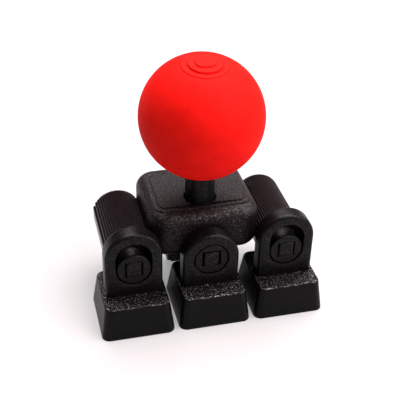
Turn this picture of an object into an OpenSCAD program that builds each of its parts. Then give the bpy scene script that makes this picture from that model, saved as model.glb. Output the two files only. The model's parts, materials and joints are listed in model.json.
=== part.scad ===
// Joystick that stands on the cursor keys of a keyboard.
// Millimetres. X to the right, Y away from the user, Z up.
// The origin is the centre of the front foot's underside.

/* [Key grid] */
// Distance between the centres of neighbouring keys
key_pitch = 19.05; // [18.5:0.05:23]

/* [Key caps] */
// Space between the rims of neighbouring key caps
cap_gap = 1.05; // [0.6:0.05:3]
// Depth of a key cap at its rim
cap_d = 18.5; // [16:0.1:20]
// Height of a key cap
cap_h = 8.5; // [7.5:0.1:11]
// How far each side leans in at the top
cap_lean_side = 1.15; // [0.3:0.05:1.6]
// How far the front leans in at the top
cap_lean_front = 1.05; // [0.3:0.05:1.6]
// How far the back leans in at the top
cap_lean_back = 1.35; // [0.3:0.05:1.8]
// Radius of the upright corners
cap_corner_r = 2.0; // [1:0.1:3]
// Rounding round the top edge
cap_edge_r = 0.5; // [0.2:0.05:1]
// Wall thickness of a key cap
cap_wall = 1.3; // [1:0.1:1.6]
// Roof thickness of a key cap
cap_roof = 1.5; // [1.2:0.1:2]

/* [Key sockets] */
// Diameter of the socket stem inside a key cap
stem_d = 5.5; // [5.2:0.1:6]
// Length of the socket cross's long arms
cross_len = 4.1; // [4:0.05:4.3]
// Width of the arm that runs left to right
cross_w_x = 1.3; // [1.2:0.05:1.5]
// Width of the arm that runs front to back
cross_w_y = 1.15; // [1:0.05:1.5]
// Depth of the cross socket
cross_depth = 4.0; // [3.6:0.1:4.6]

/* [Lugs] */
// Width of a lug, and twice the radius of its arch
lug_w = 14.0; // [12.4:0.1:15]
// Thickness of a lug
lug_t = 4.4; // [3.5:0.1:5.5]
// Distance from the key centre forward to the lug's front face
lug_front = 3.1; // [2.4:0.1:4]
// Rounding along the lug's outer edges
lug_edge_r = 0.8; // [0.3:0.1:1.2]
// Height of the roll axle above the key caps' tops
axle_rise = 7.4; // [6.9:0.1:10]
// Length that an outer lug lets its boss rise
slot_rise = 3.0; // [2:0.1:4]
// Length of the tenon that joins a lug to its key cap
tenon_l = 8.0; // [6:0.5:9]
// Width of that tenon
tenon_w = 2.2; // [1.6:0.1:2.6]

/* [Bosses] */
// Diameter of the round bosses that the lugs ride on
boss_d = 8.6; // [7.2:0.1:9]
// How far a boss face sits behind the lug's front face
boss_recess = 0.1; // [0:0.05:0.4]
// Side of the square keys in the boss faces
key_side = 3.8; // [3:0.1:4]
// How far a square key stands proud of its boss
key_proud = 0.1; // [0:0.05:0.3]
// Gap beside a square key
key_side_gap = 0.3; // [0.1:0.05:0.4]
// Height of the front key's narrower end inside the body
key_tail_h = 2.4; // [1.6:0.1:2.6]
// Depth of the short square keys in the outer bosses
key_plug_len = 1.5; // [1:0.1:1.7]
// Diameter of the stub on which an outer boss turns
stub_d = 5.0; // [4:0.1:5.4]
// Length of that stub inside its boss
stub_len = 2.1; // [1.6:0.1:2.2]

/* [Barrels] */
// Diameter of a barrel
barrel_d = 12.0; // [10:0.1:12.4]
// Length of a barrel
barrel_l = 21.9; // [17:0.1:25]
// Rounding at the ends of a barrel
barrel_edge_r = 0.9; // [0.3:0.1:1.5]

/* [Body] */
// Depth of the shallow seats in the body's sides that the barrels lie in
seat_depth = 0.85; // [0.1:0.05:0.9]
// Height of the body up to its rounded shoulders
body_h = 11.9; // [10.5:0.1:15]
// Distance from the roll axle down to the body's underside
body_drop = 2.1; // [2.1:0.1:2.6]
// Radius of the body's upright corners
body_corner_r = 5.0; // [4:0.1:6]
// Rounding round the body's top
body_top_r = 3.0; // [2:0.1:3.6]
// Rounding round the body's underside
body_foot_r = 3.0; // [1.6:0.1:3.4]
// Wall thickness of the body
body_wall = 1.6; // [1.2:0.1:1.8]
// Margin at each side of the raised panel on top
panel_side = 1.9; // [1.6:0.1:4]
// Margin in front of and behind the raised panel
panel_end = 3.1; // [2.4:0.1:4]
// Height of each of the panel's two steps
panel_step = 0.25; // [0.1:0.05:0.4]
// Width of the tread between the two steps
panel_tread = 1.25; // [0.6:0.05:1.6]
// Thickness of the base plate
plate_t = 1.2; // [0.8:0.1:1.2]

/* [Arms] */
// Width of the bar that joins a barrel to the body, front to back
arm_w = 6.0; // [4:0.5:7]
// Height of that bar
arm_h = 3.4; // [2.4:0.1:3.8]
// Depth that the bar goes into the barrel
arm_grip = 4.0; // [3:0.1:5]

/* [Stick] */
// Distance from the body's front back to the middle of the stick
stick_back = 8.1; // [7.9:0.1:8.4]
// Diameter of the shaft
shaft_d = 7.4; // [6.4:0.1:7.6]
// Side of the shaft's square root
root_side = 6.2; // [5:0.1:6.3]
// Space between the shaft and the round recess that it stands in
recess_gap = 0.2; // [0.1:0.05:0.5]
// Depth of that recess
recess_depth = 2.2; // [1:0.1:2.4]
// Wall round the square socket
socket_wall = 1.2; // [0.8:0.1:1.2]
// Diameter of the ball
ball_d = 30.0; // [25:0.1:36]
// Height of the ball's centre above the roll axle
ball_rise = 32.3; // [30:0.1:39]
// Height of the joint between the ball's halves above its centre
ball_joint = 3.3; // [0:0.1:5]
// Depth of the shaft inside the ball
shaft_grip = 14.5; // [8:0.1:16]
// How far the ball's own axis leans towards the user, in degrees
ball_lean = 7.0; // [0:0.5:10]

/* [Rear foot] */
// Width of the rear lug
rear_w = 14.0; // [11:0.1:14.4]
// Length of the pad that holds the rear pin, inside the back wall
rear_pad = 2.7; // [0.8:0.1:4]
// Height of the rear lug's underside above the key caps' rims
rear_lift = 2.8; // [1.5:0.1:4.5]
// Rounding along the rear lug's lower edges
rear_edge_r = 1.0; // [0.4:0.1:1.4]
// Diameter of the rear pin
pin_d = 3.0; // [2:0.1:3]

/* [Fits] */
// Radial clearance where a boss runs in a lug
run_gap = 0.1; // [0.05:0.01:0.1]
// Radial clearance round pins and stubs
pin_gap = 0.05; // [0.02:0.01:0.1]
// Clearance between pieces that are fitted together
fit_gap = 0.05; // [0.02:0.01:0.15]
// Space between pieces that move past each other
pass_gap = 0.3; // [0.2:0.05:0.5]

/* [Hidden] */

$fn = 96;
// Facets used on pieces inside a hull
hull_fn = 32;
// Overshoot that makes a cut clean
cut = 0.5;
// Thickness of the slices that a hull joins
slice = 0.01;

left = -1;
right = 1;

cap_w = key_pitch - cap_gap;
axle_z = cap_h + axle_rise;

lug_y0 = -lug_front;
lug_y1 = lug_y0 + lug_t;
hole_r = boss_d / 2 + run_gap;
boss_y0 = lug_y0 + boss_recess;
boss_y1 = lug_y1 + pass_gap;

tenon_y0 = (lug_y0 + lug_y1 - tenon_w) / 2;

barrel_y0 = boss_y1 + pass_gap;
barrel_side = key_pitch - barrel_d / 2;

body_y0 = barrel_y0;
stick_y = body_y0 + stick_back;
socket_side = root_side + 2 * (fit_gap + socket_wall);
// The rear lug stands behind the stick's socket and covers the rear stem
rear_y0 = stick_y + socket_side / 2 + pass_gap + 0.2;
rear_y1 = key_pitch + stem_d / 2 + 0.1;
rear_t = rear_y1 - rear_y0;
pad_y0 = rear_y1 + pass_gap;
// Depth of the rear stem's seat in its lug
stem_seat = 4.5;

body_w = 2 * (barrel_side + seat_depth);
body_y1 = pad_y0 + rear_pad + body_wall;
body_d = body_y1 - body_y0;
body_z0 = axle_z - body_drop;
body_z1 = body_z0 + body_h;
body_top = body_z1 + 2 * panel_step;
ceiling_z = body_z1 - body_wall;
wall_y = body_y1 - body_wall;
// The rear pin ends inside the back wall
pin_y1 = wall_y + body_wall / 2;

// Height of the room inside a key cap
room_z = cap_h - cap_roof;

root_top = body_top - recess_depth;
root_bottom = body_z0 + plate_t + 1.5;
socket_floor = root_bottom - fit_gap - 1.0;

ball_z = axle_z + ball_rise;
ball_r = ball_d / 2;
shaft_top = ball_z - sqrt(pow(ball_r, 2) - pow(shaft_d / 2, 2)) + shaft_grip;
joint_spigot_r = ball_r * 0.45;
joint_spigot_h = 2.0;
// Radii of the low steps that the top of the ball is built up from
pole_steps = [5.5, 4.0, 2.3];
// Share of the sphere's fall from the pole at which each step's flat lies
pole_share = 0.9;

// The front key's tail passes through the body's front wall
key_tail_y1 = body_y0 + body_wall + 1.2;
key_tail_z0 = key_side / 2 - key_tail_h;

window_gap = 0.9;
window_y0 = rear_y0 - 2 * pass_gap;
pad_r = pin_d / 2 + 1.6;

arm_y = body_y0 + body_d * 0.44;
arm_z = body_z0 + plate_t + 0.3 + arm_h / 2;
arm_head = 1.2;
arm_inner = body_w / 2 - body_wall - arm_head;
arm_outer = barrel_side + arm_grip;

plastic = "#242225";
red = "#e8281c";

// ---------------------------------------------------------------- helpers

// Turns a shape made along Z so that it runs along Y
module along_y() rotate([-90, 0, 0]) children();

// Plate with round corners, as exact cylinders and flats
module round_plate(x0, x1, y0, y1, z0, z1, r) {
    translate([x0 + r, y0, z0]) cube([x1 - x0 - 2 * r, y1 - y0, z1 - z0]);
    translate([x0, y0 + r, z0]) cube([x1 - x0, y1 - y0 - 2 * r, z1 - z0]);
    for (x = [x0 + r, x1 - r], y = [y0 + r, y1 - r])
        translate([x, y, z0]) cylinder(r = r, h = z1 - z0);
}

// Four thin round corners at one height, for a hull
module corner_slices(x, y0, y1, z, r) {
    for (sx = [-1, 1], y = [y0 + r, y1 - r])
        translate([sx * (x - r), y, z]) cylinder(r = r, h = slice, $fn = hull_fn);
}

// Square bar along Y, centred on X = 0 and Z = 0
module square_bar(side_x, side_z, y0, y1) {
    translate([-side_x / 2, y0, -side_z / 2]) cube([side_x, y1 - y0, side_z]);
}

// Section from the axis out to r, between two heights, with its outer corners rounded
module rim_section(r, y0, y1, edge0, edge1) {
    translate([0, y0]) square([r - edge0, edge0]);
    translate([0, y0 + edge0]) square([r, y1 - y0 - edge0 - edge1]);
    translate([0, y1 - edge1]) square([r - edge1, edge1]);
    intersection() {
        translate([r - edge0, y0 + edge0]) circle(r = edge0);
        translate([r - edge0, y0]) square(edge0);
    }
    intersection() {
        translate([r - edge1, y1 - edge1]) circle(r = edge1);
        translate([r - edge1, y1 - edge1]) square(edge1);
    }
}

// Round shape along Y from y0 to y1, with rounded rims
module rod_y(r, y0, y1, edge0, edge1) {
    along_y() rotate_extrude() rim_section(r, y0, y1, edge0, edge1);
}

// Half outline of a lug's section, with both outer corners rounded
module lug_section(half_w, t, r) {
    square([half_w - r, t]);
    translate([0, r]) square([half_w, t - 2 * r]);
    for (y = [r, t - r]) translate([half_w - r, y]) circle(r = r);
}

// Upright lug with an arched top: legs from z0 up to the arch's centre
module arched_lug(half_w, y0, t, z0, arch_z, r) {
    translate([0, 0, arch_z]) rotate([-90, 0, 0]) rotate(180)
        translate([0, 0, y0]) rotate_extrude(angle = 180) lug_section(half_w, t, r);
    for (m = [0, 1]) mirror([m, 0, 0])
        translate([0, y0, z0]) linear_extrude(height = arch_z - z0) lug_section(half_w, t, r);
}

// ---------------------------------------------------------------- feet

// Outside of a key cap, or its inside when shrunk by a wall
module cap_body(inset, top) {
    lean = top / cap_h;
    edge = inset > 0 ? slice : cap_edge_r;
    x0 = cap_w / 2 - inset;
    y0 = cap_d / 2 - inset;
    x1 = x0 - cap_lean_side * lean;
    front1 = y0 - cap_lean_front * lean;
    back1 = y0 - cap_lean_back * lean;
    r = cap_corner_r - inset * 0.6;
    hull() {
        corner_slices(x0, -y0, y0, 0, r);
        corner_slices(x1, -front1, back1, top - edge, r * 0.9);
        corner_slices(x1 - edge, -front1 + edge, back1 - edge, top - slice, r * 0.9 - edge / 2);
    }
}

module keycap(k) {
    color(plastic) translate([k * key_pitch, 0, 0]) difference() {
        cap_body(0, cap_h);
        translate([0, 0, -slice]) cap_body(cap_wall, room_z + slice);
        // Slot for the lug's tenon
        translate([-tenon_l / 2 - fit_gap, tenon_y0 - fit_gap, room_z - cut])
            cube([tenon_l + 2 * fit_gap, tenon_w + 2 * fit_gap, cap_roof + 2 * cut]);
    }
}

module lug(k) {
    rise = k == 0 ? 0 : slot_rise;
    color(plastic) translate([k * key_pitch, 0, 0]) {
        difference() {
            arched_lug(lug_w / 2, lug_y0, lug_t, cap_h, axle_z + rise, lug_edge_r);
            for (z = [axle_z, axle_z + rise])
                translate([0, lug_y0 - cut, z]) along_y() cylinder(r = hole_r, h = lug_t + 2 * cut);
            if (rise > 0)
                translate([-hole_r, lug_y0 - cut, axle_z]) cube([2 * hole_r, lug_t + 2 * cut, rise]);
        }
        // Tenon through the key cap's roof
        translate([-tenon_l / 2, tenon_y0, room_z]) cube([tenon_l, tenon_w, cap_roof + slice]);
    }
}

// Round stem with a cross-shaped socket in its lower end
module key_socket(z1) {
    difference() {
        cylinder(d = stem_d, h = z1);
        translate([-cross_len / 2, -cross_w_x / 2, -cut]) cube([cross_len, cross_w_x, cross_depth + cut]);
        translate([-cross_w_y / 2, -cross_len / 2, -cut]) cube([cross_w_y, cross_len, cross_depth + cut]);
    }
}

module stem(k) {
    color(plastic) translate([k * key_pitch, 0, 0]) key_socket(room_z);
}

module rear_lug() {
    color(plastic) difference() {
        arched_lug(rear_w / 2, rear_y0, rear_t, rear_lift, axle_z, rear_edge_r);
        translate([0, rear_y0 - cut, axle_z]) along_y()
            cylinder(r = pin_d / 2 + pin_gap, h = rear_t + 2 * cut);
        // Seat for the stem
        translate([0, key_pitch, rear_lift - cut]) cylinder(r = stem_d / 2 + fit_gap, h = stem_seat + cut);
    }
}

module rear_stem() {
    color(plastic) translate([0, key_pitch, 0]) key_socket(rear_lift + stem_seat);
}

// ---------------------------------------------------------------- bosses

module front_boss() {
    color(plastic) translate([0, 0, axle_z]) difference() {
        along_y() translate([0, 0, boss_y0]) cylinder(d = boss_d, h = body_y0 - boss_y0);
        // Square hole, with its spare room above and beside the key
        translate([0, 0, key_side_gap / 2])
            square_bar(key_side + 2 * key_side_gap, key_side + key_side_gap + 2 * fit_gap,
                       boss_y0 - cut, body_y0 + cut);
    }
}

module front_square_key() {
    color(plastic) translate([0, 0, axle_z]) {
        square_bar(key_side, key_side, boss_y0 - key_proud, body_y0);
        translate([-key_side / 2, body_y0 - slice, key_tail_z0])
            cube([key_side, key_tail_y1 - body_y0 + slice, key_tail_h]);
    }
}

module outer_boss(k) {
    color(plastic) translate([k * key_pitch, 0, axle_z]) difference() {
        along_y() translate([0, 0, boss_y0]) cylinder(d = boss_d, h = boss_y1 - boss_y0);
        square_bar(key_side + 2 * key_side_gap, key_side + 2 * fit_gap, boss_y0 - cut, boss_y0 + key_plug_len);
        along_y() translate([0, 0, boss_y1 - stub_len])
            cylinder(d = stub_d + 2 * pin_gap, h = stub_len + cut);
    }
}

module outer_square_key(k) {
    color(plastic) translate([k * key_pitch, 0, axle_z])
        square_bar(key_side, key_side, boss_y0 - key_proud, boss_y0 + key_plug_len);
}

// ---------------------------------------------------------------- joystick

module barrel(k) {
    color(plastic) translate([k * key_pitch, 0, axle_z]) difference() {
        union() {
            rod_y(barrel_d / 2, barrel_y0, barrel_y0 + barrel_l, barrel_edge_r / 2, barrel_edge_r);
            along_y() translate([0, 0, boss_y1 - stub_len + fit_gap])
                cylinder(d = stub_d, h = stub_len + barrel_y0 - boss_y1);
        }
        // Pocket for the arm, on the side of the body
        translate([-k * (key_pitch - (barrel_side + arm_outer) / 2 + cut / 2), arm_y, arm_z - axle_z])
            cube([arm_grip + cut + 2 * fit_gap, arm_w + 2 * fit_gap, arm_h + 2 * fit_gap], center = true);
    }
}

module arm(k) {
    color(plastic) translate([0, arm_y, arm_z]) {
        translate([k * (arm_inner + arm_outer) / 2, 0, 0])
            cube([arm_outer - arm_inner, arm_w, arm_h], center = true);
        translate([k * (arm_inner + arm_head / 2), 0, 0])
            cube([arm_head, arm_w + 2, arm_h + 0.4], center = true);
    }
}

// Section of the body's sides and corners, outwards from the upright corners' axes
module body_band() rim_section(body_corner_r, body_z0, body_z1, body_foot_r, body_top_r);

// Rounded block of the body, before it is hollowed
module body_block() {
    x = body_w / 2 - body_corner_r;
    half_y = body_d / 2 - body_corner_r;
    translate([0, body_y0 + body_d / 2, 0]) {
        translate([-x, -half_y, body_z0]) cube([2 * x, 2 * half_y, body_h]);
        for (turn = [0, 180]) rotate(turn) {
            translate([x, half_y, 0]) rotate([90, 0, 0]) linear_extrude(height = 2 * half_y) body_band();
            translate([-x, half_y, 0]) rotate([90, 0, 90]) linear_extrude(height = 2 * x) body_band();
            translate([x, half_y, 0]) rotate_extrude(angle = 90) body_band();
            translate([-x, half_y, 0]) rotate(90) rotate_extrude(angle = 90) body_band();
        }
    }
}

// Room inside the body's outline, an inset in from it
module body_room(inset, z0, z1) {
    x = body_w / 2 - inset;
    round_plate(-x, x, body_y0 + inset, body_y1 - inset, z0, z1, body_corner_r - inset);
}

// Top panel: two low steps with round corners
module top_panel() {
    x = body_w / 2 - panel_side;
    y0 = body_y0 + panel_end;
    y1 = body_y1 - panel_end;
    round_plate(-x, x, y0, y1, body_z1 - cut, body_z1 + panel_step, 2.5);
    round_plate(-x + panel_tread, x - panel_tread, y0 + panel_tread, y1 - panel_tread,
                body_z1 - cut, body_top, 1.8);
}

module body_shell() {
    half_socket = socket_side / 2;
    color(plastic) difference() {
        union() {
            difference() {
                union() {
                    body_block();
                    top_panel();
                }
                body_room(body_wall, body_z0 + plate_t, ceiling_z);
                // Opening that the base plate fills
                body_room(body_foot_r, body_z0 - cut, body_z0 + plate_t + cut);
            }
            // Square socket that holds the stick's root
            translate([-half_socket, stick_y - half_socket, socket_floor])
                cube([socket_side, socket_side, ceiling_z - socket_floor + slice]);
            // Pad round the rear pin
            intersection() {
                translate([0, pad_y0, axle_z]) along_y() cylinder(r = pad_r, h = wall_y - pad_y0 + slice);
                body_block();
            }
        }
        // Recess and socket for the stick
        translate([0, stick_y, root_top]) cylinder(d = shaft_d + 2 * recess_gap, h = recess_depth + cut);
        translate([-root_side / 2 - fit_gap, stick_y - root_side / 2 - fit_gap, root_bottom - fit_gap])
            cube([root_side + 2 * fit_gap, root_side + 2 * fit_gap, body_h]);
        // Blind hole for the rear pin
        translate([0, pad_y0 - cut, axle_z]) along_y() cylinder(r = pin_d / 2, h = pin_y1 - pad_y0 + cut);
        // Tail of the front square key
        translate([-key_side / 2 - fit_gap, body_y0 - cut, axle_z + key_tail_z0 - fit_gap])
            cube([key_side + 2 * fit_gap, body_wall + 2 * cut, key_tail_h + 2 * fit_gap]);
        for (k = [left, right]) {
            // Shallow seat that each barrel lies in
            translate([k * key_pitch, body_y0 - cut, axle_z]) along_y()
                cylinder(r = barrel_d / 2 + run_gap, h = body_d + 2 * cut);
            translate([k * (body_w / 2), arm_y, arm_z])
                cube([3 * body_wall, arm_w + 2 * fit_gap, arm_h + 2 * fit_gap], center = true);
        }
    }
}

module base_plate() {
    half_window = rear_w / 2 + window_gap;
    color(plastic) difference() {
        body_room(body_foot_r + fit_gap, body_z0, body_z0 + plate_t);
        // Window for the rear lug
        translate([-half_window, window_y0, body_z0 - cut])
            cube([2 * half_window, body_d, plate_t + 2 * cut]);
        // Notch for the front square key
        translate([-key_side / 2 - fit_gap, body_y0, body_z0 - cut])
            cube([key_side + 2 * fit_gap, key_tail_y1 - body_y0 + fit_gap, plate_t + 2 * cut]);
    }
}

module rear_pin() {
    color(plastic) translate([0, rear_y0 + fit_gap, axle_z]) along_y()
        cylinder(r = pin_d / 2, h = pin_y1 - rear_y0 - fit_gap);
}

module stick_shaft() {
    color(plastic) translate([0, stick_y, 0]) {
        translate([0, 0, root_top]) cylinder(d = shaft_d, h = shaft_top - root_top);
        translate([-root_side / 2, -root_side / 2, root_bottom])
            cube([root_side, root_side, root_top - root_bottom + slice]);
    }
}

// Drop from the pole down to the sphere's circle of radius r
function pole_drop(r) = ball_r - sqrt(pow(ball_r, 2) - pow(r, 2));

// Turns the ball's own axis to its lean, with the ball's centre as the origin
module leaning() translate([0, stick_y, ball_z]) rotate([ball_lean, 0, 0]) children();

module ball_upper() {
    color(red) leaning() difference() {
        union() {
            intersection() {
                sphere(r = ball_r);
                translate([-ball_r, -ball_r, ball_joint])
                    cube([ball_d, ball_d, ball_r - ball_joint - pole_drop(pole_steps[0])]);
            }
            for (r = pole_steps)
                translate([0, 0, ball_joint]) cylinder(r = r, h = ball_r - ball_joint - pole_drop(r) * pole_share);
        }
        // Seat for the lower half's spigot
        translate([0, 0, ball_joint - cut])
            cylinder(r = joint_spigot_r + fit_gap, h = joint_spigot_h + fit_gap + cut);
    }
}

module ball_lower() {
    color(red) difference() {
        leaning() {
            intersection() {
                sphere(r = ball_r);
                translate([-ball_r, -ball_r, -ball_r]) cube([ball_d, ball_d, ball_r + ball_joint]);
            }
            translate([0, 0, ball_joint - cut]) cylinder(r = joint_spigot_r, h = joint_spigot_h + cut);
        }
        // Blind hole for the shaft
        translate([0, stick_y, ball_z - ball_r - cut])
            cylinder(d = shaft_d + 2 * fit_gap, h = shaft_top - ball_z + ball_r + fit_gap + cut);
    }
}

ball_upper();
ball_lower();
stick_shaft();
body_shell();
base_plate();
rear_pin();
front_boss();
front_square_key();
barrel(left);  // left_barrel
barrel(right);  // right_barrel
arm(left);  // left_arm
arm(right);  // right_arm
outer_boss(left);  // left_boss
outer_boss(right);  // right_boss
outer_square_key(left);  // left_square_key
outer_square_key(right);  // right_square_key
keycap(left);  // left_keycap
keycap(0);  // front_keycap
keycap(right);  // right_keycap
lug(left);  // left_lug
lug(0);  // front_lug
lug(right);  // right_lug
stem(left);  // left_stem
stem(0);  // front_stem
stem(right);  // right_stem
rear_lug();
rear_stem();
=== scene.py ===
"""Looks of the keyboard-top joystick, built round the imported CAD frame. Metres, degrees."""

import json
import math

import bpy
from mathutils import Matrix, Vector, noise


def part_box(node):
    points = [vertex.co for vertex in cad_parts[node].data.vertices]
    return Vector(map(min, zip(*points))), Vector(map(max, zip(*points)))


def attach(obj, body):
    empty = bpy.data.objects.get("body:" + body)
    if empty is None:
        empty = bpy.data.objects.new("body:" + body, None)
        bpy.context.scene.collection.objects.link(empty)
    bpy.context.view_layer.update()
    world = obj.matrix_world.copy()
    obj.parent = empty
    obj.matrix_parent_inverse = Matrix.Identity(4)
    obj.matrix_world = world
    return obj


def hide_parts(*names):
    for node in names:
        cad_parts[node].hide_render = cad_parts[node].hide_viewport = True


MM = 0.001

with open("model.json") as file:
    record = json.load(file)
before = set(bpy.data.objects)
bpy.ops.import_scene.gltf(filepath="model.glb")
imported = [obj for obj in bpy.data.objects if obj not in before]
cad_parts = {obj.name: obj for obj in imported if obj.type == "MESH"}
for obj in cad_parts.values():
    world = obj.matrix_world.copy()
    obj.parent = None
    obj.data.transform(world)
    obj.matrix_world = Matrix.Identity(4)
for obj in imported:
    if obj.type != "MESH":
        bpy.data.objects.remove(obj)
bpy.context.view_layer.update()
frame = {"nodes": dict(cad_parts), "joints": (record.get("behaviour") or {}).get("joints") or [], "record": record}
record = frame["record"]
BODY_OF = {node: body for body, members in record["behaviour"]["bodies"].items() for node in members}


# ------------------------------------------------------------------ camera

CAMERA_AZIMUTH = -15.44
CAMERA_ELEVATION = 34.06
CAMERA_ROLL = 1.93
CAMERA_DISTANCE = 205.0 * MM
CAMERA_TARGET = Vector((-0.54, 0.0, 29.06)) * MM
CAMERA_LENS = 74.98
SENSOR_WIDTH = 36.0
CLIP_START = 0.01
CLIP_END = 10.0


def make_camera():
    azimuth = math.radians(CAMERA_AZIMUTH)
    elevation = math.radians(CAMERA_ELEVATION)
    back = Vector((
        math.sin(azimuth) * math.cos(elevation),
        -math.cos(azimuth) * math.cos(elevation),
        math.sin(elevation),
    ))
    data = bpy.data.cameras.new("camera")
    data.lens = CAMERA_LENS
    data.sensor_width = SENSOR_WIDTH
    data.clip_start = CLIP_START
    data.clip_end = CLIP_END
    camera = bpy.data.objects.new("camera", data)
    bpy.context.scene.collection.objects.link(camera)
    turn = back.to_track_quat("Z", "Y").to_matrix().to_4x4()
    roll = Matrix.Rotation(math.radians(CAMERA_ROLL), 4, "Z")
    camera.matrix_world = Matrix.Translation(CAMERA_TARGET + back * CAMERA_DISTANCE) @ turn @ roll
    bpy.context.scene.camera = camera


make_camera()


# ------------------------------------------------------------------ sizes from the frame

def node_box(name):
    """Lower and upper corner of a CAD node."""
    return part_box(name)


def joint_point(name):
    for joint in frame["joints"]:
        if joint["name"] == name:
            return Vector(joint["pos_m"])
    raise ValueError("no joint named " + name)


AXLE_Z = joint_point("stick_roll").z
PITCH = abs(joint_point("right_boss_turn").x)
SIDES = {"left": -1, "front": 0, "right": 1}

# Gaps of a fixed and of a running fit, and other sizes that several pieces share
FIT_GAP = 0.05 * MM
RUN_GAP = 0.1 * MM
STUB_RADIUS = 2.5 * MM
SOFT_EDGE = 0.05 * MM


# ------------------------------------------------------------------ mesh helpers

def make_object(name, vertices, faces, smooth=True):
    mesh = bpy.data.meshes.new(name)
    mesh.from_pydata([tuple(v) for v in vertices], [], faces)
    mesh.validate()
    mesh.update()
    obj = bpy.data.objects.new(name, mesh)
    bpy.context.scene.collection.objects.link(obj)
    if smooth:
        for polygon in mesh.polygons:
            polygon.use_smooth = True
    return obj


def loft(name, rings, loop=False, flip=False):
    """Joins rings of equal length with quads. Caps both ends, or with loop joins last to first."""
    count = len(rings[0])
    vertices = [point for ring in rings for point in ring]
    faces = []
    pairs = [(i, i + 1) for i in range(len(rings) - 1)]
    if loop:
        pairs.append((len(rings) - 1, 0))
    for a, b in pairs:
        for j in range(count):
            k = (j + 1) % count
            faces.append((a * count + j, a * count + k, b * count + k, b * count + j))
    if not loop:
        for ring_index, reverse in ((0, True), (len(rings) - 1, False)):
            centre = Vector((0.0, 0.0, 0.0))
            for point in rings[ring_index]:
                centre += Vector(point)
            vertices.append(centre / count)
            middle = len(vertices) - 1
            for j in range(count):
                a = ring_index * count + j
                b = ring_index * count + (j + 1) % count
                faces.append((b, a, middle) if reverse else (a, b, middle))
    if flip:
        faces = [tuple(reversed(face)) for face in faces]
    return make_object(name, vertices, faces)


def sharpen(obj, degrees):
    """Marks edges sharper than the angle, so that smooth shading stops at them."""
    obj.data.set_sharp_from_angle(angle=math.radians(degrees))


def join(name, objects):
    """Joins objects into the first one."""
    bpy.ops.object.select_all(action="DESELECT")
    for obj in objects:
        obj.select_set(True)
    bpy.context.view_layer.objects.active = objects[0]
    bpy.ops.object.join()
    objects[0].name = name
    return objects[0]


def rounded_rectangle(x0, x1, y0, y1, radius, corner=10, edge=10):
    """Points round a rectangle with round corners, anticlockwise, always the same number."""
    radius = max(radius, 1e-6)
    points = []
    corners = [
        (x1 - radius, y0 + radius, -90.0),
        (x1 - radius, y1 - radius, 0.0),
        (x0 + radius, y1 - radius, 90.0),
        (x0 + radius, y0 + radius, 180.0),
    ]
    for index, (cx, cy, start) in enumerate(corners):
        for step in range(corner + 1):
            angle = math.radians(start + 90.0 * step / corner)
            points.append((cx + radius * math.cos(angle), cy + radius * math.sin(angle)))
        nx, ny, nstart = corners[(index + 1) % 4]
        angle = math.radians(nstart)
        target = (nx + radius * math.cos(angle), ny + radius * math.sin(angle))
        here = points[-1]
        for step in range(1, edge):
            t = step / edge
            points.append((here[0] + (target[0] - here[0]) * t, here[1] + (target[1] - here[1]) * t))
    return points


def at_height(outline, z):
    return [(x, y, z) for x, y in outline]


def fillet_steps(radius, count=6):
    """(inset, rise) pairs from the side of a rounded edge to its top."""
    steps = []
    for i in range(count + 1):
        angle = math.radians(90.0 * i / count)
        steps.append((radius * (1 - math.cos(angle)), radius * math.sin(angle)))
    return steps


def lathe(name, profile, centre, segments, axis="z"):
    """Turns a profile of (radius, position) points round an axis. Its ends lie on the axis."""
    rings = []
    for radius, position in profile[1:-1]:
        ring = []
        for j in range(segments):
            angle = 2 * math.pi * j / segments
            u, v = radius * math.cos(angle), radius * math.sin(angle)
            if axis == "z":
                ring.append((centre[0] + u, centre[1] + v, position))
            else:
                ring.append((centre[0] + u, position, centre[2] - v))
        rings.append(ring)
    return loft(name, rings)


RAYS = 160


def ray_angles(corners):
    """Angles all round, of which the nearest to each corner (x, z) is moved onto it."""
    angles = [2 * math.pi * i / RAYS for i in range(RAYS)]
    for x, z in corners:
        corner = math.atan2(z, x) % (2 * math.pi)
        nearest = min(range(RAYS), key=lambda i: abs(angles[i] - corner))
        angles[nearest] = corner
    return angles


# ------------------------------------------------------------------ materials

def linear(value):
    """Linear light of an sRGB level from 0 to 255."""
    v = value / 255.0
    return v / 12.92 if v <= 0.04045 else ((v + 0.055) / 1.055) ** 2.4


def colour(red, green, blue):
    return (linear(red), linear(green), linear(blue), 1.0)


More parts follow.
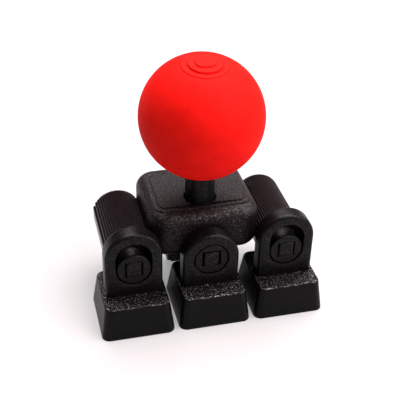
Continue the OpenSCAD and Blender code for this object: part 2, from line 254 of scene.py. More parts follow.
class Shader:
    """A few shortcuts for building one material's nodes."""

    def __init__(self, name):
        self.material = bpy.data.materials.new(name)
        self.material.use_nodes = True
        self.tree = self.material.node_tree
        self.surface = self.tree.nodes["Principled BSDF"]
        self.place = self.node("ShaderNodeTexCoord").outputs["Object"]

    def node(self, kind, **values):
        made = self.tree.nodes.new(kind)
        for key, value in values.items():
            setattr(made, key, value)
        return made

    def link(self, source, target):
        self.tree.links.new(source, target)

    def noise(self, scale, detail, roughness):
        texture = self.node("ShaderNodeTexNoise")
        texture.inputs["Scale"].default_value = scale
        texture.inputs["Detail"].default_value = detail
        texture.inputs["Roughness"].default_value = roughness
        self.link(self.place, texture.inputs["Vector"])
        return texture.outputs["Fac"]

    def cells(self, scale):
        texture = self.node("ShaderNodeTexVoronoi", feature="F1")
        texture.inputs["Scale"].default_value = scale
        self.link(self.place, texture.inputs["Vector"])
        return texture

    def ramp(self, source, stops):
        """Colours between two (position, shade) stops."""
        ramp = self.node("ShaderNodeValToRGB")
        self.link(source, ramp.inputs["Fac"])
        for element, (position, shade) in zip(ramp.color_ramp.elements, stops):
            element.position = position
            element.color = (*shade, 1.0)
        return ramp.outputs["Color"]

    def levels(self, source, low, high, low_at, high_at):
        """Maps a value from low_at..high_at to low..high."""
        mapped = self.node("ShaderNodeMapRange")
        mapped.inputs["From Min"].default_value = low_at
        mapped.inputs["From Max"].default_value = high_at
        mapped.inputs["To Min"].default_value = low
        mapped.inputs["To Max"].default_value = high
        self.link(source, mapped.inputs["Value"])
        return mapped.outputs["Result"]

    def bump(self, source, depth, normal=None):
        bump = self.node("ShaderNodeBump")
        bump.inputs["Strength"].default_value = 1.0
        bump.inputs["Distance"].default_value = depth
        self.link(source, bump.inputs["Height"])
        if normal is not None:
            self.link(normal, bump.inputs["Normal"])
        return bump.outputs["Normal"]


BLACK_SPECULAR = 0.075
MOTTLE_DARK = 0.8
MOTTLE_LIGHT = 1.25


def black_plastic(name, shade, roughness, grain, depth, coarse_grain=0.0, coarse_depth=0.0, glint=0.0):
    """Matte black plastic. The facets of the coarse grain catch the light, the more so with glint."""
    shader = Shader(name)
    mottle = shader.noise(420.0, 3.0, 0.6)
    dark = tuple(c * MOTTLE_DARK for c in shade)
    light = tuple(c * MOTTLE_LIGHT for c in shade)
    shader.link(shader.ramp(mottle, [(0.3, dark), (0.72, light)]), shader.surface.inputs["Base Color"])
    fine = shader.noise(grain, 3.0, 0.65)
    normal = shader.bump(fine, depth)
    shader.surface.inputs["Roughness"].default_value = roughness
    if coarse_depth > 0:
        coarse = shader.noise(coarse_grain, 3.0, 0.7)
        normal = shader.bump(coarse, coarse_depth, normal)
        # Small facets that shine more than the ground between them
        facets = shader.noise(coarse_grain * 1.4, 2.0, 0.6)
        shader.link(shader.levels(facets, BLACK_SPECULAR, BLACK_SPECULAR + glint, 0.5, 0.72),
                    shader.surface.inputs["Specular IOR Level"])
    else:
        shader.surface.inputs["Specular IOR Level"].default_value = BLACK_SPECULAR
    shader.link(normal, shader.surface.inputs["Normal"])
    return shader.material


def red_plastic(name):
    """Matte red print: fine grain, a few pale pits."""
    shader = Shader(name)
    mottle = shader.noise(300.0, 3.0, 0.6)
    shade = shader.ramp(mottle, [(0.3, (0.62, 0.0062, 0.004)), (0.7, (0.70, 0.0082, 0.0055))])
    pits = shader.cells(330.0)
    spots = shader.levels(pits.outputs["Distance"], 1.0, 0.0, 0.05, 0.075)
    chosen = shader.node("ShaderNodeMath", operation="GREATER_THAN")
    chosen.inputs[1].default_value = 0.93
    separate = shader.node("ShaderNodeSeparateColor")
    shader.link(pits.outputs["Color"], separate.inputs["Color"])
    shader.link(separate.outputs["Red"], chosen.inputs[0])
    amount = shader.node("ShaderNodeMath", operation="MULTIPLY")
    shader.link(spots, amount.inputs[0])
    shader.link(chosen.outputs["Value"], amount.inputs[1])
    mix = shader.node("ShaderNodeMix", data_type="RGBA")
    shader.link(amount.outputs["Value"], mix.inputs["Factor"])
    shader.link(shade, mix.inputs["A"])
    mix.inputs["B"].default_value = colour(250, 120, 105)
    shader.link(mix.outputs["Result"], shader.surface.inputs["Base Color"])
    fine = shader.noise(5200.0, 2.0, 0.6)
    shader.link(shader.bump(fine, 0.006 * MM), shader.surface.inputs["Normal"])
    shader.surface.inputs["Roughness"].default_value = 0.6
    shader.surface.inputs["Specular IOR Level"].default_value = 0.03
    return shader.material


BALL_RED = red_plastic("ball_red_print")
BODY_BLACK = black_plastic(
    "body_black_print", (0.0085, 0.0055, 0.006), roughness=0.36, grain=7000.0, depth=0.02 * MM,
    coarse_grain=2100.0, coarse_depth=0.17 * MM, glint=0.8)
BARREL_BLACK = black_plastic(
    "barrel_black_print", (0.008, 0.005, 0.0055), roughness=0.2, grain=6000.0, depth=0.004 * MM)
CAP_BLACK = black_plastic(
    "cap_black_satin", (0.0032, 0.003, 0.0036), roughness=0.34, grain=5000.0, depth=0.003 * MM)
CAP_TOP_BLACK = black_plastic(
    "cap_black_stipple", (0.002, 0.0017, 0.0019), roughness=0.24, grain=7000.0, depth=0.02 * MM,
    coarse_grain=2000.0, coarse_depth=0.26 * MM, glint=2.0)
PART_BLACK = black_plastic(
    "part_black_satin", (0.003, 0.0025, 0.0028), roughness=0.36, grain=5000.0, depth=0.006 * MM,
    coarse_grain=2400.0, coarse_depth=0.04 * MM, glint=0.3)
HIDDEN_BLACK = black_plastic(
    "inner_black", (0.007, 0.0065, 0.007), roughness=0.5, grain=3000.0, depth=0.006 * MM)

SLOTS = {
    "ball_red": ("ball_upper", "ball_lower"),
    "cap_black": ("left_keycap", "front_keycap", "right_keycap"),
    "body_black": ("body_shell", "base_plate", "left_barrel", "right_barrel"),
}
SLOT_MATERIALS = {
    "ball_red": BALL_RED,
    "cap_black": CAP_BLACK,
    "body_black": BODY_BLACK,
    "part_black": PART_BLACK,
}
INNER_NODES = ("base_plate", "rear_pin", "left_arm", "right_arm", "left_stem", "front_stem", "right_stem",
               "rear_stem")


def slot_of(node):
    for slot, members in SLOTS.items():
        if node in members:
            return slot
    return "part_black"


def material_of(node):
    if node in INNER_NODES:
        return HIDDEN_BLACK
    if node.endswith("_barrel"):
        return BARREL_BLACK
    return SLOT_MATERIALS[slot_of(node)]


def dress_cad_nodes():
    """Procedural materials on the CAD nodes that stay in view."""
    for name, obj in frame["nodes"].items():
        for slot in obj.material_slots:
            slot.material = material_of(name)


# ------------------------------------------------------------------ ball

LAYER = 0.2 * MM
LAYER_GROOVE = 0.022 * MM
POLE_RADII = (5.5 * MM, 4.0 * MM, 2.3 * MM)
POLE_SHARE = 0.9
BALL_JOINT = 3.3 * MM
SEAM_GROOVE = 0.07 * MM
SEAM_WIDTH = 0.12 * MM
BALL_LEAN = 7.0
# The lean grows from none at this depth under the ball's centre to all of it over the second length
LEAN_ABOVE = 11.0 * MM
LEAN_BLEND = 9.0 * MM
# How much the innermost step is squared off, and how far out, in its own radii, this reaches
POLE_SQUARING = 0.075
POLE_SQUARING_REACH = 1.35
BALL_SEGMENTS = 192


def sphere_r(radius, z):
    return math.sqrt(max(radius * radius - z * z, 0.0))


def layered_arc(radius, z0, z1):
    """(r, z) points up a sphere that is built of thin layers, between two heights from its centre."""
    points = []
    first = math.floor(z0 / LAYER)
    last = math.ceil(z1 / LAYER)
    for layer in range(first, last):
        for share, depth in ((0.0, 1.0), (0.22, 0.15), (0.5, 0.0), (0.78, 0.15)):
            z = (layer + share) * LAYER
            if z0 < z < z1:
                r = sphere_r(radius, z)
                dip = LAYER_GROOVE * depth
                points.append((r - dip * r / radius, z - dip * z / radius))
    return points


def make_ball():
    low, high = node_box("ball_lower")
    radius = (high.x - low.x) / 2
    shaft_low, shaft_high = node_box("stick_shaft")
    bore = (shaft_high.x - shaft_low.x) / 2 + FIT_GAP
    bore_top = shaft_high.z + FIT_GAP
    # The shaft's bore cuts off the sphere's lowest point
    mouth = -sphere_r(radius, bore)
    centre_z = low.z - mouth
    centre = Vector(((low.x + high.x) / 2, (low.y + high.y) / 2, centre_z))

    lower = [(0.0, bore_top), (bore, bore_top), (bore, centre_z + mouth + 0.1 * MM)]
    lower += [(r, centre_z + z) for r, z in layered_arc(radius, mouth + SOFT_EDGE, BALL_JOINT - SEAM_WIDTH)]
    edge = sphere_r(radius, BALL_JOINT)
    joint_z = centre_z + BALL_JOINT
    lower += [(edge - SEAM_GROOVE, joint_z), (0.0, joint_z)]
    ball_lower = lathe("ball_lower_skin", lower, centre, BALL_SEGMENTS)

    upper = [(0.0, joint_z), (edge - SEAM_GROOVE, joint_z)]
    drops = [radius - sphere_r(radius, r) for r in POLE_RADII]
    upper += [(r, centre_z + z) for r, z in layered_arc(radius, BALL_JOINT + SEAM_WIDTH, radius - drops[0])]
    soft = SOFT_EDGE
    # A shallow valley runs round the outermost step
    upper.append((POLE_RADII[0] + 0.12 * MM, centre_z + radius - drops[0] - 0.02 * MM))
    upper.append((POLE_RADII[0] + 0.03 * MM, centre_z + radius - drops[0] - 0.09 * MM))
    for i, (r, drop) in enumerate(zip(POLE_RADII, drops)):
        top = centre_z + radius - drop * POLE_SHARE
        below = upper[-1][1] if i == 0 else centre_z + radius - drops[i - 1] * POLE_SHARE - 0.03 * MM
        if i > 0:
            upper.append((r + soft, below + 0.03 * MM))
            upper.append((r + 0.01 * MM, below))
        upper.append((r, top - soft))
        upper.append((r - soft * 0.3, top - soft * 0.3))
        upper.append((r - soft, top))
        # Each flat crowns a little towards the next step
        upper.append((r - 0.5 * MM, top + 0.04 * MM))
    upper.append((0.0, upper[-1][1] + 0.02 * MM))
    ball_upper = lathe("ball_upper_skin", upper, centre, BALL_SEGMENTS)
    squarish_pole(ball_upper, centre)
    lean_ball(ball_upper, centre)
    lean_ball(ball_lower, centre)
    for obj, node in ((ball_lower, "ball_lower"), (ball_upper, "ball_upper")):
        sharpen(obj, 50)
        finish_piece(obj, node)


def lean_ball(obj, centre):
    """Leans the ball's own axis towards the user. The bore for the shaft stays upright."""
    for vertex in obj.data.vertices:
        place = vertex.co - centre
        share = min(1.0, max(0.0, (place.z + LEAN_ABOVE) / LEAN_BLEND))
        turn = Matrix.Rotation(math.radians(BALL_LEAN) * share, 3, "X")
        vertex.co = centre + turn @ place


def squarish_pole(obj, centre):
    """Squares off the innermost step, which isn't quite round."""
    limit = POLE_RADII[2] * POLE_SQUARING_REACH
    top = centre.z + 14.0 * MM
    for vertex in obj.data.vertices:
        co = vertex.co
        if co.z < top:
            continue
        dx, dy = co.x - centre.x, co.y - centre.y
        r = math.hypot(dx, dy)
        if 1e-7 < r < limit:
            angle = math.atan2(dy, dx)
            bulge = 1.0 + POLE_SQUARING * (1 - math.cos(4 * angle)) / 2 - 0.02
            fade = min(1.0, max(0.0, (limit - r) / (limit - POLE_RADII[2])))
            scale_x = 1.0 + (bulge * 1.02 - 1.0) * fade
            scale_y = 1.0 + (bulge * 0.9 - 1.0) * fade
            co.x = centre.x + dx * scale_x
            co.y = centre.y + dy * scale_y


def finish_piece(obj, node):
    """Gives a new piece the body and the material of the CAD node that it stands for, and hides that node."""
    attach(obj, BODY_OF[node])
    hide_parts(node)
    obj.data.materials.clear()
    obj.data.materials.append(material_of(node))


# ------------------------------------------------------------------ shaft

def make_shaft():
    low, high = node_box("stick_shaft")
    centre = Vector(((low.x + high.x) / 2, (low.y + high.y) / 2, 0.0))
    radius = (high.x - low.x) / 2
    shell_top = node_box("body_shell")[1].z
    root_top = shell_top - RECESS_DEPTH
    chamfer = 0.3 * MM
    profile = [(0.0, root_top), (radius - chamfer, root_top), (radius, root_top + chamfer)]
    layers = int((high.z - root_top - 2 * chamfer) / LAYER)
    for i in range(1, layers):
        z = root_top + chamfer + i * LAYER
        profile.append((radius - 0.008 * MM, z))
        profile.append((radius, z + LAYER * 0.5))
    profile += [(radius, high.z - chamfer), (radius - chamfer, high.z), (0.0, high.z)]
    post = lathe("shaft_post", profile, centre, segments=96)
    side = ROOT_SIDE / 2
    root = loft("shaft_root", [
        at_height(rounded_rectangle(centre.x - side + d, centre.x + side - d, centre.y - side + d,
                                    centre.y + side - d, 0.4 * MM, 6, 3), z)
        for d, z in ((0.3 * MM, low.z), (0.0, low.z + 0.3 * MM), (0.0, root_top + 0.05 * MM))
    ])
    shaft = join("stick_shaft_skin", [post, root])
    sharpen(shaft, 40)
    finish_piece(shaft, "stick_shaft")


# ------------------------------------------------------------------ body

# Sizes of the body that its box doesn't give
RECESS_GAP = 0.2 * MM
RECESS_DEPTH = 2.2 * MM
ROOT_SIDE = 6.2 * MM
BODY_CORNER = 5.0 * MM
BODY_TOP_FILLET = 3.0 * MM
BODY_FOOT_FILLET = 3.0 * MM
BODY_WALL = 1.6 * MM
PLATE = 1.2 * MM
PANEL_SIDE = 1.9 * MM
PANEL_END = 3.1 * MM
PANEL_STEP = 0.25 * MM
PANEL_TREAD = 1.25 * MM
PANEL_CORNER = 2.5 * MM
SEAT_GAP = 0.1 * MM


def make_body():
    low, high = node_box("body_shell")
    shaft_low, shaft_high = node_box("stick_shaft")
    half = (high.x - low.x) / 2
    y0, y1 = low.y, high.y
    z0 = low.z
    z1 = high.z - 2 * PANEL_STEP
    corner, edge = 14, 16

    def outline(inset, radius, z):
        return at_height(rounded_rectangle(-half + inset, half - inset, y0 + inset, y1 - inset,
                                           radius, corner, edge), z)

    rings = []
    # Inside, from the ceiling down to the opening that the base plate fills
    ceiling = z1 - BODY_WALL
    inner_corner = BODY_CORNER - BODY_WALL
    foot_corner = BODY_CORNER - BODY_FOOT_FILLET
    rings.append(outline(BODY_WALL + 0.6 * MM, inner_corner, ceiling))
    rings.append(outline(BODY_WALL, inner_corner, ceiling - 0.6 * MM))
    rings.append(outline(BODY_WALL, inner_corner, z0 + PLATE))
    rings.append(outline(BODY_FOOT_FILLET, foot_corner, z0 + PLATE))
    # Rounded foot, then the side
    for inset, rise in reversed(fillet_steps(BODY_FOOT_FILLET, 14)):
        rings.append(outline(inset, BODY_CORNER - inset, z0 + BODY_FOOT_FILLET - rise))
    side0, side1 = z0 + BODY_FOOT_FILLET, z1 - BODY_TOP_FILLET
    levels = 24
    for i in range(1, levels):
        rings.append(outline(0.0, BODY_CORNER, side0 + (side1 - side0) * i / levels))
    # Shoulder, as far in as its lower part is a plain ring
    centre_y = (y0 + y1) / 2
    half_y = (y1 - y0) / 2

    def shoulder_z(x, y):
        """Height of the rounded shoulder above a point."""
        qx = abs(x) - (half - BODY_CORNER)
        qy = abs(y - centre_y) - (half_y - BODY_CORNER)
        reach = math.hypot(max(qx, 0.0), max(qy, 0.0)) + min(max(qx, qy), 0.0)
        short = BODY_TOP_FILLET - (BODY_CORNER - reach)
        if short <= 0:
            return z1
        return side1 + math.sqrt(max(BODY_TOP_FILLET ** 2 - short ** 2, 0.0))

    for inset, rise in fillet_steps(BODY_TOP_FILLET, 20):
        if inset < 1.5 * MM:
            last_inset = inset
            rings.append(outline(inset, BODY_CORNER - inset, side1 + rise))

    # The panel's two steps
    def panel(inset, z, radius):
        return at_height(rounded_rectangle(-half + PANEL_SIDE + inset, half - PANEL_SIDE - inset,
                                           y0 + PANEL_END + inset, y1 - PANEL_END - inset,
                                           radius, corner, edge), z)

    soft = SOFT_EDGE
    valley = 0.04 * MM
    shoulder_in = outline(last_inset, BODY_CORNER - last_inset, 0.0)
    panel_foot = panel(-0.02 * MM, 0.0, PANEL_CORNER)
    blend_steps = 12
    for i in range(1, blend_steps + 1):
        t = i / blend_steps
        ring = []
        for p, q in zip(shoulder_in, panel_foot):
            x, y = p[0] + (q[0] - p[0]) * t, p[1] + (q[1] - p[1]) * t
            ring.append((x, y, shoulder_z(x, y) - (valley if i == blend_steps else 0.0)))
        rings.append(ring)
    for i in range(2):
        inset = i * PANEL_TREAD
        base = z1 + i * PANEL_STEP
        top = base + PANEL_STEP
        radius = PANEL_CORNER - 0.7 * MM * i
        if i > 0:
            rings.append(panel(inset - 0.16 * MM, base, radius))
            rings.append(panel(inset - 0.02 * MM, base - valley, radius))
        rings.append(panel(inset, top - soft, radius))
        rings.append(panel(inset + soft * 0.3, top - soft * 0.3, radius))
        rings.append(panel(inset + soft, top, radius))
    # Flat top, in to the recess round the shaft
    recess = (shaft_high.x - shaft_low.x) / 2 + RECESS_GAP
    stick_y = (shaft_low.y + shaft_high.y) / 2
    radius = PANEL_CORNER - 0.7 * MM

    def hole(grow, z):
        r = recess + grow
        return at_height(rounded_rectangle(-r, r, stick_y - r, stick_y + r, 0.98 * r, corner, edge), z)

    outer = panel(PANEL_TREAD + soft, high.z, radius)
    inner = hole(0.3 * MM, high.z)
    flats = 14
    for i in range(1, flats):
        t = i / flats
        rings.append([tuple(a + (b - a) * t for a, b in zip(p, q)) for p, q in zip(outer, inner)])
    rings.append(inner)
    rings.append(hole(0.12 * MM, high.z - 0.05 * MM))
    rings.append(hole(0.0, high.z - 0.2 * MM))
    rings.append(hole(0.0, high.z - RECESS_DEPTH))
    body = loft("body_shell_skin", rings)
    # The barrels lie in shallow seats along both sides
    barrel_low, barrel_high = node_box("right_barrel")
    seat_r = (barrel_high.z - barrel_low.z) / 2 + SEAT_GAP
    for vertex in body.data.vertices:
        co = vertex.co
        side = 1 if co.x > 0 else -1
        dx, dz = co.x - side * PITCH, co.z - AXLE_Z
        if abs(co.x) > half - BODY_WALL * 0.95 and co.z < z1 - 0.5 * MM and math.hypot(dx, dz) < seat_r:
            co.x = side * (PITCH - math.sqrt(seat_r ** 2 - dz ** 2))
    # Socket block and pin pad inside
    socket = socket_block(stick_y, ceiling)
    pad = pin_pad(low, high)
    body = join("body_shell_skin", [body, socket, pad])
    sharpen(body, 38)
    finish_piece(body, "body_shell")


def socket_block(centre_y, ceiling):
    half = ROOT_SIDE / 2 + 1.25 * MM
    shaft_low = node_box("stick_shaft")[0]
    bottom = shaft_low.z - 1.05 * MM
    return loft("socket_block", [
        at_height(rounded_rectangle(-half + d, half - d, centre_y - half + d, centre_y + half - d,
                                    0.5 * MM, 6, 3), z)
        for d, z in ((0.2 * MM, bottom), (0.0, bottom + 0.2 * MM), (0.0, ceiling + 0.2 * MM))
    ])


def pin_pad(low, high):
    pin_low, pin_high = node_box("rear_pin")
    radius = (pin_high.x - pin_low.x) / 2 + 1.6 * MM
    lug_back = node_box("rear_lug")[1].y
    y0, y1 = lug_back + 0.3 * MM, high.y - BODY_WALL + 0.1 * MM
    floor = low.z + 0.02 * MM
    pad = lathe("pin_pad", [(0.0, y0), (radius, y0), (radius, y1), (0.0, y1)],
                Vector((0.0, 0.0, AXLE_Z)), segments=64, axis="y")
    for vertex in pad.data.vertices:
        vertex.co.z = max(vertex.co.z, floor)
    return pad


# ------------------------------------------------------------------ barrels

BARREL_LAYER = 0.52 * MM
BARREL_EDGE = 0.9 * MM
BARREL_FRONT_EDGE = BARREL_EDGE * 0.4
# Across one layer: share of its width, and depth under the circle; a bead with a groove on each side
LAYER_BEAD = (
    (0.02, 0.2 * MM), (0.16, 0.08 * MM), (0.34, 0.01 * MM), (0.5, 0.0), (0.66, 0.01 * MM), (0.84, 0.08 * MM),
    (0.98, 0.2 * MM),
)
STUB_EDGE = 0.2 * MM
# How far the stub reaches into its barrel
STUB_ROOT = 0.1 * MM


def stepped_circle(radius, side):
    """Section (x, z) of a barrel, built up in layers that face sideways. side mirrors it."""
    layers = round(2 * radius / BARREL_LAYER)
    step = 2 * radius / layers
    top = []
    for i in range(layers):
        x0 = -radius + i * step
        z = math.sqrt(max(radius ** 2 - (x0 + step / 2) ** 2, 0.0))
        for share, depth in LAYER_BEAD:
            top.append((x0 + step * share, z - depth))
    bottom = [(x, -z) for x, z in reversed(top)]
    return [(side * x, z) for x, z in top + bottom]


def make_barrel(side_name):
    side = SIDES[side_name]
    node = side_name + "_barrel"
    low, high = node_box(node)
    radius = (high.z - low.z) / 2
    centre_x = side * PITCH
    stub_front = low.y
    y0 = node_box("body_shell")[0].y
    y1 = high.y
    outline = stepped_circle(radius, side)

    def ring(scale, y):
        return [(centre_x + x * scale, y, AXLE_Z + z * scale) for x, z in outline]

    rings = []
    for inset, rise in reversed(fillet_steps(BARREL_FRONT_EDGE, 4)):
        rings.append(ring(1 - inset / radius, y0 + BARREL_FRONT_EDGE - rise))
    straight = y1 - y0 - BARREL_FRONT_EDGE - BARREL_EDGE
    levels = 12
    for i in range(1, levels):
        rings.append(ring(1.0, y0 + BARREL_FRONT_EDGE + straight * i / levels))
    for inset, rise in fillet_steps(BARREL_EDGE, 8):
        rings.append(ring(1 - inset / radius, y1 - BARREL_EDGE + rise))
    rings.append(ring(0.5, y1))
    barrel = loft(node + "_skin", rings, flip=(side > 0))
    stub_back = y0 + STUB_ROOT
    profile = [(0.0, stub_front), (STUB_RADIUS - STUB_EDGE, stub_front),
               (STUB_RADIUS, stub_front + STUB_EDGE), (STUB_RADIUS, stub_back), (0.0, stub_back)]
    stub = lathe(node + "_stub", profile, Vector((centre_x, 0.0, AXLE_Z)), segments=64, axis="y")
    barrel = join(node + "_skin", [barrel, stub])
    sharpen(barrel, 40)
    finish_piece(barrel, node)


# ------------------------------------------------------------------ lugs

LUG_EDGE = 0.8 * MM
HOLE_EDGE = 0.12 * MM


def lug_point(angle, half_width, drop, rise):
    """Where a ray from the axle's centre meets an arch of that half width whose centre is rise higher."""
    dx, dz = math.cos(angle), math.sin(angle)
    # Arch
    b = -rise * dz
    c = rise * rise - half_width * half_width
    t = -b + math.sqrt(max(b * b - c, 0.0))
    z = t * dz
    if z >= rise:
        return t * dx, z
    # Straight sides
    t_side = half_width / abs(dx) if abs(dx) > 1e-9 else 1e9
    t_floor = drop / -dz if dz < -1e-9 else 1e9
    t = min(t_side, t_floor)
    return t * dx, t * dz


def slot_point(angle, radius, rise):
    """Where the same ray meets the round hole, or the slot when rise isn't zero."""
    dx, dz = math.cos(angle), math.sin(angle)
    if rise == 0 or dz <= 0:
        return radius * dx, radius * dz
    t_side = radius / abs(dx) if abs(dx) > 1e-9 else 1e9
    if t_side * dz <= rise:
        return t_side * dx, t_side * dz
    b = -rise * dz
    c = rise * rise - radius * radius
    t = -b + math.sqrt(max(b * b - c, 0.0))
    return t * dx, t * dz


def make_lug(side_name):
    node = side_name + "_lug"
    low, high = node_box(node)
    centre_x = SIDES[side_name] * PITCH
    half = (high.x - low.x) / 2
    y0, y1 = low.y, high.y
    edge = LUG_EDGE
    boss_low, boss_high = node_box(side_name + "_boss")
    hole_r = (boss_high.z - boss_low.z) / 2 + RUN_GAP
    # The arch is as high above the axle as the slot is long
    rise = high.z - half - AXLE_Z
    if abs(rise) < 0.05 * MM:
        rise = 0.0
    drop = AXLE_Z - node_box(side_name + "_keycap")[1].z
    angles = ray_angles(((half, -drop), (-half, -drop)))

    def outer(inset, y):
        return [(centre_x + x, y, AXLE_Z + z)
                for x, z in (lug_point(a, half - inset, drop, rise) for a in angles)]

    def inner(grow, y):
        return [(centre_x + x, y, AXLE_Z + z)
                for x, z in (slot_point(a, hole_r + grow, rise) for a in angles)]

    def between(first, second, share):
        return [tuple(a + (b - a) * share for a, b in zip(p, q)) for p, q in zip(first, second)]

    rings = []
    for inset, out in fillet_steps(edge, 8):
        rings.append(outer(inset, y0 + edge - out))
    front_in = inner(HOLE_EDGE, y0)
    front_out = rings[-1]
    for share in (0.33, 0.66):
        rings.append(between(front_out, front_in, share))
    rings.append(front_in)
    rings.append(inner(HOLE_EDGE * 0.3, y0 + HOLE_EDGE * 0.3))
    rings.append(inner(0.0, y0 + HOLE_EDGE))
    for i in range(1, 6):
        rings.append(inner(0.0, y0 + HOLE_EDGE + (y1 - y0 - 2 * HOLE_EDGE) * i / 6))
    rings.append(inner(0.0, y1 - HOLE_EDGE))
    back_in = inner(HOLE_EDGE, y1)
    rings.append(back_in)
    back_out = outer(edge, y1)
    rings.append(between(back_in, back_out, 0.5))
    for inset, out in reversed(fillet_steps(edge, 8)):
        rings.append(outer(inset, y1 - edge + out))
    for i in range(1, 5):
        rings.append(outer(0.0, y1 - edge + (y0 - y1 + 2 * edge) * i / 5))
    lug = loft(node + "_skin", rings, loop=True, flip=True)
    sharpen(lug, 40)
    finish_piece(lug, node)


# ------------------------------------------------------------------ bosses and square keys

KEY_SIDE = 3.8 * MM
KEY_SLIM = 0.1 * MM
KEY_BEVEL = 0.2 * MM
KEY_PLUG = 1.5 * MM
# Gaps beside a square key, and above and below an outer one; the middle key lies on its hole's floor
KEY_GAP = 0.38 * MM
MIDDLE_KEY_GAP = KEY_GAP * 1.35
KEY_END_GAP = 0.16 * MM
BOSS_BEVEL = 0.12 * MM
BOSS_SLIM = 0.24 * MM
# Depth of the bore for the barrel's stub
STUB_BORE = 2.1 * MM
# Radius of the tiny ring that closes a hole's floor
POINT = 0.05 * MM


def square_point(angle, half_x, below, above):
    """Where a ray from the axle's centre meets a rectangle."""
    dx, dz = math.cos(angle), math.sin(angle)
    t = half_x / abs(dx) if abs(dx) > 1e-9 else 1e9
    if dz > 1e-9:
        t = min(t, above / dz)
    elif dz < -1e-9:
        t = min(t, below / -dz)
    return t * dx, t * dz


def make_boss(side_name):
    node = side_name + "_boss"
    low, high = node_box(node)
    centre_x = SIDES[side_name] * PITCH
    radius = (high.z - low.z) / 2
    y0, y1 = low.y, high.y
    middle = side_name == "front"
    gap = MIDDLE_KEY_GAP if middle else KEY_GAP
    half_x = KEY_SIDE / 2 - KEY_SLIM + gap
    below = KEY_SIDE / 2 + (FIT_GAP if middle else KEY_END_GAP)
    above = KEY_SIDE / 2 + (gap - FIT_GAP if middle else KEY_END_GAP)
    angles = ray_angles(((half_x, above), (-half_x, above), (-half_x, -below), (half_x, -below)))

    def circle(r, y):
        return [(centre_x + r * math.cos(a), y, AXLE_Z + r * math.sin(a)) for a in angles]

    def square(grow, y):
        points = [square_point(a, half_x + grow, below + grow, above + grow) for a in angles]
        return [(centre_x + x, y, AXLE_Z + z) for x, z in points]

    bevel = BOSS_BEVEL
    # All but the back of the boss is a little slimmer, which leaves a dark ring round its face
    slim_r = radius - BOSS_SLIM
    rings = [circle(slim_r - bevel, y0), square(bevel * 0.5, y0), square(0.0, y0 + bevel * 0.5)]
    if middle:
        rings += [square(0.0, y1), circle(radius, y1)]
    else:
        rings += [square(0.0, y0 + KEY_PLUG), circle(POINT, y0 + KEY_PLUG)]
        rings += [circle(POINT, y1 - STUB_BORE), circle(STUB_RADIUS + FIT_GAP, y1 - STUB_BORE)]
        rings += [circle(STUB_RADIUS + FIT_GAP, y1), circle(radius - bevel, y1), circle(radius, y1 - bevel)]
    rings += [circle(radius, y1 - 0.5 * MM), circle(slim_r, y1 - 0.6 * MM), circle(slim_r, y0 + bevel)]
    boss = loft(node + "_skin", rings, loop=True, flip=True)
    sharpen(boss, 40)
    finish_piece(boss, node)


def make_square_key(side_name):
    node = side_name + "_square_key"
    low, high = node_box(node)

    def ring(inset, y):
        x0, x1 = low.x + KEY_SLIM + inset, high.x - KEY_SLIM - inset
        z0, z1 = low.z + inset, high.z - inset
        outline = rounded_rectangle(x0, x1, z0, z1, 0.25 * MM, 6, 8)
        return [(x, y, z) for x, z in outline]

    steps = fillet_steps(KEY_BEVEL, 3)
    rings = [ring(0.6 * MM, low.y)]
    rings += [ring(inset, low.y + KEY_BEVEL - rise) for inset, rise in reversed(steps)]
    rings += [ring(inset, high.y - KEY_BEVEL + rise) for inset, rise in steps]
    key = loft(node + "_skin", rings)
    sharpen(key, 40)
    finish_piece(key, node)


# ------------------------------------------------------------------ key caps

CAP_LEAN = {"side": 1.15 * MM, "front": 1.05 * MM, "back": 1.35 * MM}
CAP_CORNER = 2.0 * MM
CAP_EDGE = 0.5 * MM
CAP_WALL = 1.3 * MM
CAP_ROOF = 1.5 * MM
CAP_FOOT_EDGE = 0.12 * MM
# The stipple adds two sizes of grain, per millimetre, and stops at a highest level
STIPPLE_DEPTH = 0.05 * MM
STIPPLE_LIMIT = 0.02 * MM
STIPPLE_COARSE = 2.6
STIPPLE_FINE = 5.5
TOP_DEPTH = 0.25 * MM


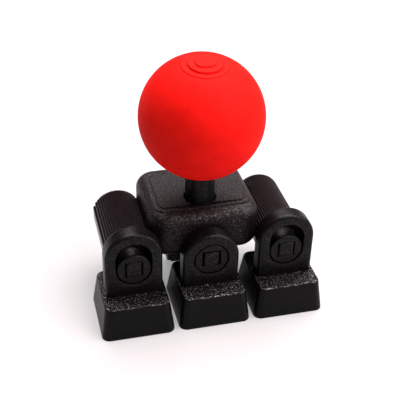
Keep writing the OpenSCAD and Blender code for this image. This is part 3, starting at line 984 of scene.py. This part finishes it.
def make_keycap(side_name, seed):
    node = side_name + "_keycap"
    low, high = node_box(node)
    height = high.z
    corner, edge = 16, 96

    def outline(inset, z):
        lean = z / height
        x0 = low.x + inset + CAP_LEAN["side"] * lean
        x1 = high.x - inset - CAP_LEAN["side"] * lean
        y0 = low.y + inset + CAP_LEAN["front"] * lean
        y1 = high.y - inset - CAP_LEAN["back"] * lean
        radius = max(CAP_CORNER * (1 - 0.1 * lean) - inset * 0.6, 0.3 * MM)
        return at_height(rounded_rectangle(x0, x1, y0, y1, radius, corner, edge), z)

    room = height - CAP_ROOF
    rings = [outline(CAP_WALL + 0.3 * MM, room), outline(CAP_WALL, room - 0.3 * MM),
             outline(CAP_WALL, room * 0.5), outline(CAP_WALL, 0.0)]
    foot = CAP_FOOT_EDGE
    rings += [outline(foot, 0.0), outline(0.03 * MM, 0.03 * MM), outline(0.0, foot)]
    side_levels = 12
    for i in range(1, side_levels):
        rings.append(outline(0.0, foot + (height - CAP_EDGE - foot) * i / side_levels))
    for inset, rise in fillet_steps(CAP_EDGE, 6):
        rings.append(outline(inset, height - CAP_EDGE + rise))
    first_top = len(rings) - 1
    flats = 64
    rim = rings[-1]
    middle_x, middle_y = (low.x + high.x) / 2, (low.y + high.y) / 2
    for i in range(1, flats):
        share = 1 - i / flats
        rings.append([(middle_x + (p[0] - middle_x) * share, middle_y + (p[1] - middle_y) * share, height)
                      for p in rim])
    # Coarse stipple on the top, fading out over the rounded edge
    for ring_index in range(first_top - 4, len(rings)):
        fade = min(1.0, (ring_index - first_top + 4) / 5)
        stippled = []
        for x, y, z in rings[ring_index]:
            place = Vector((x, y, seed * MM)) * 1000.0
            bump = noise.noise(place * STIPPLE_COARSE) + 0.8 * noise.noise(place * STIPPLE_FINE)
            stippled.append((x, y, z + min(STIPPLE_DEPTH * fade * (bump - 0.35), STIPPLE_LIMIT)))
        rings[ring_index] = stippled
    cap = loft(node + "_skin", rings)
    sharpen(cap, 55)
    finish_piece(cap, node)
    cap.data.materials.append(CAP_TOP_BLACK)
    for polygon in cap.data.polygons:
        if polygon.center.z > height - TOP_DEPTH:
            polygon.material_index = 1


# ------------------------------------------------------------------ rear lug

REAR_LUG_EDGE = 1.0 * MM


def make_rear_lug():
    """Rear lug with its rounded edges; the pin's hole runs right through it."""
    low, high = node_box("rear_lug")
    pin_low, pin_high = node_box("rear_pin")
    half = (high.x - low.x) / 2
    hole_r = (pin_high.z - pin_low.z) / 2 + FIT_GAP
    drop = AXLE_Z - low.z
    y0, y1 = low.y, high.y
    edge = REAR_LUG_EDGE
    angles = ray_angles(((half, -drop), (-half, -drop)))

    def outer(inset, y):
        return [(x, y, AXLE_Z + z) for x, z in (lug_point(a, half - inset, drop, 0.0) for a in angles)]

    def inner(grow, y):
        return [(x, y, AXLE_Z + z) for x, z in (slot_point(a, hole_r + grow, 0.0) for a in angles)]

    rings = [outer(inset, y0 + edge - out) for inset, out in fillet_steps(edge, 6)]
    rings += [inner(HOLE_EDGE, y0), inner(0.0, y0 + HOLE_EDGE)]
    rings += [inner(0.0, y1 - HOLE_EDGE), inner(HOLE_EDGE, y1)]
    rings += [outer(inset, y1 - edge + out) for inset, out in reversed(fillet_steps(edge, 6))]
    lug = loft("rear_lug_skin", rings, loop=True, flip=True)
    sharpen(lug, 40)
    finish_piece(lug, "rear_lug")


# ------------------------------------------------------------------ floor, light

FLOOR_HALF = 3.0
FLOOR_SHADE = (0.3, 0.3, 0.3, 1.0)
FLOOR_GLOW = 0.3
WORLD_STRENGTH = 0.12
WHITE = (1.0, 1.0, 1.0, 1.0)
LIGHT_AIM = Vector((0.0, 0.01, 0.025))
LIGHT_TINT = (1.0, 0.9, 0.92)


def make_floor():
    size = FLOOR_HALF
    floor = make_object("floor", [(-size, -size, 0), (size, -size, 0), (size, size, 0), (-size, size, 0)],
                        [(0, 1, 2, 3)], smooth=False)
    shader = Shader("floor_white")
    shader.surface.inputs["Base Color"].default_value = FLOOR_SHADE
    shader.surface.inputs["Roughness"].default_value = 0.9
    shader.surface.inputs["Specular IOR Level"].default_value = 0.0
    shader.surface.inputs["Emission Color"].default_value = WHITE
    shader.surface.inputs["Emission Strength"].default_value = FLOOR_GLOW
    floor.data.materials.append(shader.material)


def soft_light(name, place, size, watts):
    """Square soft light that faces the object."""
    data = bpy.data.lights.new(name, "AREA")
    data.shape = "SQUARE"
    data.size = size
    data.energy = watts
    data.color = LIGHT_TINT
    light = bpy.data.objects.new(name, data)
    bpy.context.scene.collection.objects.link(light)
    place = Vector(place)
    turn = (place - LIGHT_AIM).to_track_quat("Z", "Y").to_matrix().to_4x4()
    light.matrix_world = Matrix.Translation(place) @ turn


def make_world():
    world = bpy.data.worlds.new("studio")
    bpy.context.scene.world = world
    world.use_nodes = True
    background = world.node_tree.nodes["Background"]
    background.inputs["Color"].default_value = WHITE
    background.inputs["Strength"].default_value = WORLD_STRENGTH


def make_studio():
    make_floor()
    make_world()
    soft_light("key", (0.5, -0.26, 0.52), size=0.85, watts=11.5)
    soft_light("top", (0.1, 0.26, 0.72), size=0.8, watts=18.0)
    settings = bpy.context.scene.view_settings
    settings.view_transform = "Standard"
    settings.look = "None"


# ------------------------------------------------------------------ the scene

dress_cad_nodes()
make_ball()
make_shaft()
make_body()
for number, side_name in enumerate(SIDES):
    make_keycap(side_name, 11.0 * (number + 1))
    make_lug(side_name)
    make_boss(side_name)
    make_square_key(side_name)
make_barrel("left")
make_barrel("right")
make_rear_lug()
make_studio()
